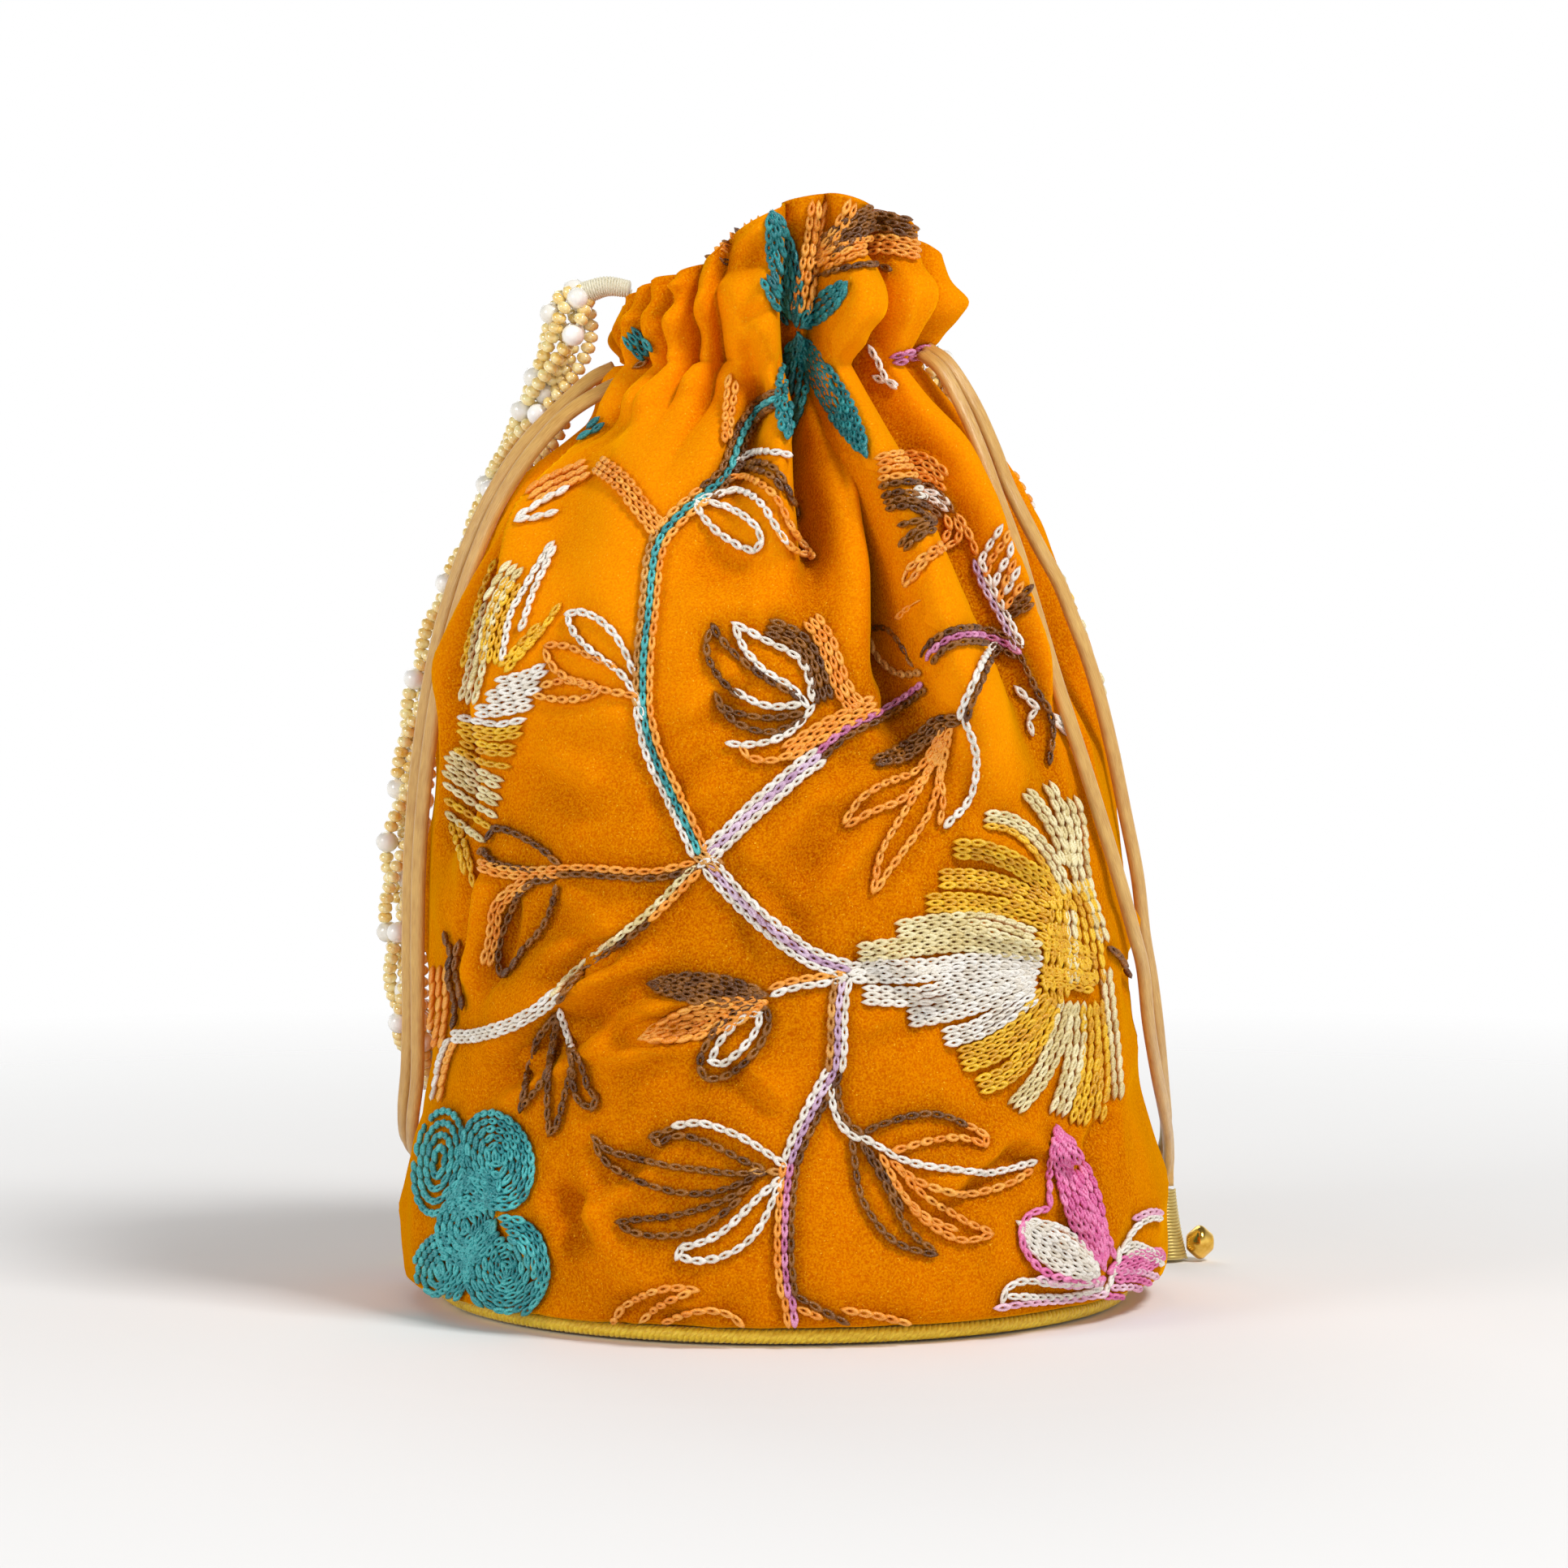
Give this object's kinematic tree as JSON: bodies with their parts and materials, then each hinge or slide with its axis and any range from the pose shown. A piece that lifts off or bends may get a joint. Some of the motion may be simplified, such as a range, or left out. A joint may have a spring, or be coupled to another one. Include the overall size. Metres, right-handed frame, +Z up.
{
  "type": "drawstring pouch reticule",
  "caption": "Embroidered velvet drawstring pouch with a gathered neck, stiff round base, satin drawstrings ending in wound cones, and a beaded handle.",
  "frame": {"origin": "middle of the underside of the round base", "axes": "+Z up, +X to the right and -Y to the front as the bag stands with its taller frill lobes in front"},
  "size_m": [0.1701, 0.1526, 0.2202],
  "materials": {
    "velvet": "orange velvet with chain-stitch embroidery",
    "base_cloth": "orange cloth over a stiff board",
    "piping": "twisted yellow cord",
    "satin_cord": "satin sheen",
    "gilt_thread": "wound gilt thread",
    "gold": "polished",
    "glass_beads": "gold-lined clear glass seed beads and white pearls",
    "wrap_thread": "wound cream thread"
  },
  "bodies": {
    "root": {"velvet_pouch": "velvet", "base_panel": "base_cloth", "base_piping": "piping", "drawstring_left_front": "satin_cord", "drawstring_left_rear": "satin_cord", "drawstring_right_front": "satin_cord", "drawstring_right_rear": "satin_cord", "cord_cone_left": "gilt_thread", "cord_cone_right": "gilt_thread", "cord_bead_left": "gold", "cord_bead_right": "gold", "bead_handle": "glass_beads", "handle_wrap_left": "wrap_thread", "handle_wrap_right": "wrap_thread"}
  },
  "joints": []
}
